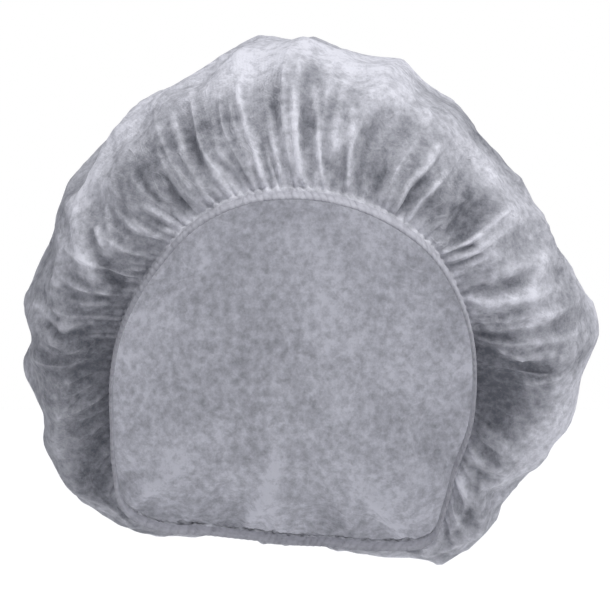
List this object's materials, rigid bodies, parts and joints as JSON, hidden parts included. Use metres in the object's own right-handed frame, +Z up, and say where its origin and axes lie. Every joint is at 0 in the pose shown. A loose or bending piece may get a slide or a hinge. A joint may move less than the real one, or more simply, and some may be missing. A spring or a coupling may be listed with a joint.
{
  "type": "crimp cap",
  "caption": "Round gathered nonwoven hair cap in its worn form, with a narrow elastic hem from brow to nape.",
  "frame": {"origin": "centre of the elastic hem's loop, where the head fills it", "axes": "+X to the right as seen from the front, +Y from the brow to the back of the head, +Z up"},
  "size_m": [0.2626, 0.2054, 0.2382],
  "materials": {
    "nonwoven": "thin matt nonwoven cloth, slightly see-through",
    "hem": "folded nonwoven cloth welded over elastic"
  },
  "bodies": {
    "root": {"crown": "nonwoven", "elastic_hem": "hem"}
  },
  "joints": []
}
